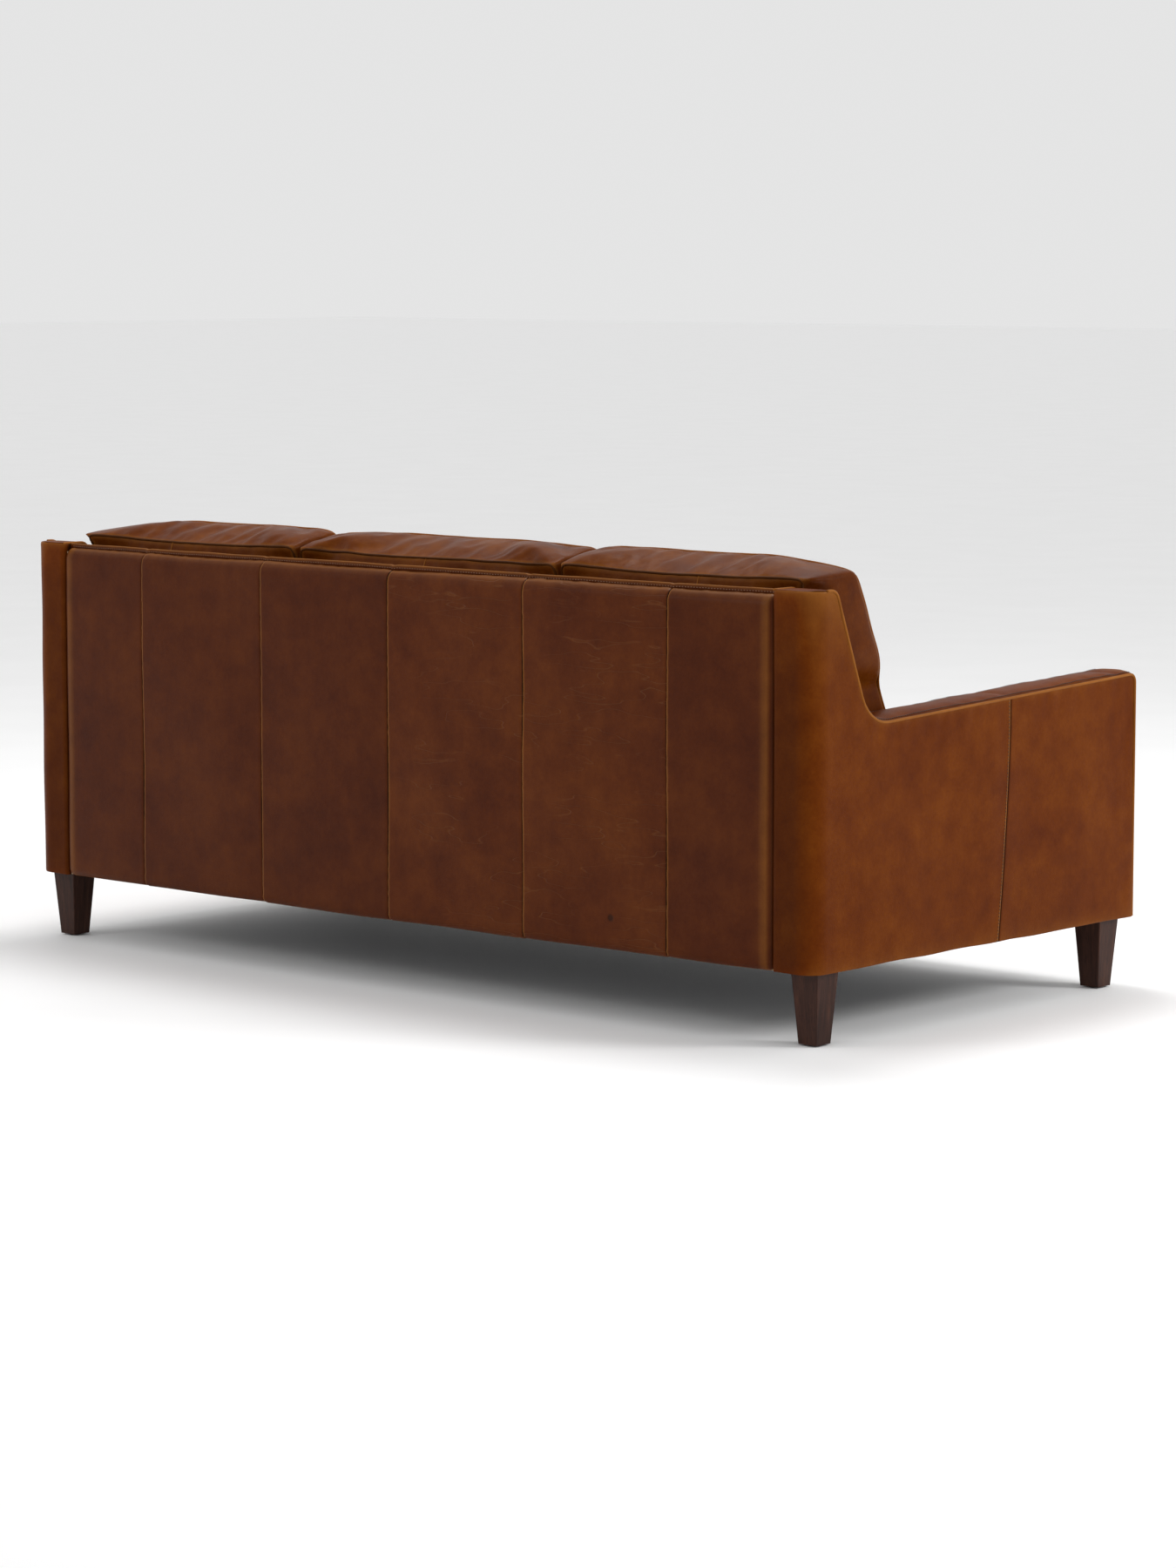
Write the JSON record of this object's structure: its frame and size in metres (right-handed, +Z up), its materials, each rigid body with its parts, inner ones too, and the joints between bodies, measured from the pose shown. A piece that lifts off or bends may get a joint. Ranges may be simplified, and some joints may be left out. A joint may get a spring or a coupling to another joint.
{
  "type": "three-seat sofa",
  "caption": "Leather sofa with track arms that rise into back wings, loose seat and back cushions, and square tapered wooden legs.",
  "frame": {"origin": "on the floor, under the middle of the sofa's width and depth", "axes": "+X to the right of someone who faces the sofa, -Y towards the front of the seat, +Z up"},
  "size_m": [2.1, 1.016, 0.885],
  "materials": {
    "leather_back": "waxed aniline, dark chestnut",
    "leather_cover": "waxed aniline, tan brown",
    "leather_cushion": "waxed aniline, warm tan",
    "padding": "foam and fibre",
    "deck_cloth": "plain woven",
    "webbing": "elastic webbing",
    "dust_cloth": "non-woven",
    "spring_steel": "drawn wire",
    "bolt_steel": "zinc plated",
    "glide_plastic": "matt",
    "leg_wood": "dark stained, satin lacquer",
    "plywood": "raw plywood",
    "frame_timber": "raw hardwood"
  },
  "bodies": {
    "frame": {"arm_band_left": "leather_cover", "arm_band_right": "leather_cover", "arm_boards_left": "plywood", "arm_boards_right": "plywood", "arm_bolts": "bolt_steel", "arm_inside_left": "leather_cover", "arm_inside_right": "leather_cover", "arm_outside_front_left": "leather_cover", "arm_outside_front_right": "leather_cover", "arm_outside_rear_left": "leather_cover", "arm_outside_rear_right": "leather_cover", "arm_pads_left": "padding", "arm_pads_right": "padding", "arm_studs_left": "frame_timber", "arm_studs_right": "frame_timber", "arm_top_foam_left": "padding", "arm_top_foam_right": "padding", "back_top_band": "leather_back", "back_top_rail": "frame_timber", "back_uprights": "plywood", "back_webbing": "webbing", "corner_blocks": "frame_timber", "deck_cover": "deck_cloth", "deck_pad": "padding", "dust_cover": "dust_cloth", "front_border_cover": "leather_cover", "front_border_pad": "padding", "inside_back_cover": "leather_cover", "inside_back_pad": "padding", "leg_bolts": "bolt_steel", "leg_front_left": "leg_wood", "leg_front_right": "leg_wood", "leg_glides": "glide_plastic", "leg_rear_left": "leg_wood", "leg_rear_right": "leg_wood", "outside_back_liner": "padding", "outside_back_panel_1": "leather_back", "outside_back_panel_2": "leather_back", "outside_back_panel_3": "leather_back", "outside_back_panel_4": "leather_back", "outside_back_panel_5": "leather_back", "outside_back_panel_6": "leather_back", "seat_front_rail": "frame_timber", "seat_long_rails": "frame_timber", "seat_rear_rail": "frame_timber", "seat_spring_rail": "frame_timber", "seat_springs": "spring_steel", "spring_clips": "spring_steel"},
    "seat_cushion_left": {"seat_cushion_case_left": "leather_cushion", "seat_cushion_core_left": "padding"},
    "seat_cushion_middle": {"seat_cushion_case_middle": "leather_cushion", "seat_cushion_core_middle": "padding"},
    "seat_cushion_right": {"seat_cushion_case_right": "leather_cushion", "seat_cushion_core_right": "padding"},
    "back_cushion_left": {"back_cushion_case_left": "leather_cushion", "back_cushion_core_left": "padding"},
    "back_cushion_middle": {"back_cushion_case_middle": "leather_cushion", "back_cushion_core_middle": "padding"},
    "back_cushion_right": {"back_cushion_case_right": "leather_cushion", "back_cushion_core_right": "padding"}
  },
  "joints": [
    {"name": "seat_left_slide", "type": "slide", "parent": "frame", "child": "seat_cushion_left", "axis": [0, -0.9994, 0.0349], "range_m": [0, 0.72]},
    {"name": "seat_middle_slide", "type": "slide", "parent": "frame", "child": "seat_cushion_middle", "axis": [0, -0.9994, 0.0349], "range_m": [0, 0.72]},
    {"name": "seat_right_slide", "type": "slide", "parent": "frame", "child": "seat_cushion_right", "axis": [0, -0.9994, 0.0349], "range_m": [0, 0.72]},
    {"name": "back_left_lift", "type": "slide", "parent": "frame", "child": "back_cushion_left", "axis": [0, 0.3584, 0.9336], "range_m": [0, 0.46]},
    {"name": "back_middle_lift", "type": "slide", "parent": "frame", "child": "back_cushion_middle", "axis": [0, 0.3584, 0.9336], "range_m": [0, 0.46]},
    {"name": "back_right_lift", "type": "slide", "parent": "frame", "child": "back_cushion_right", "axis": [0, 0.3584, 0.9336], "range_m": [0, 0.46]}
  ]
}
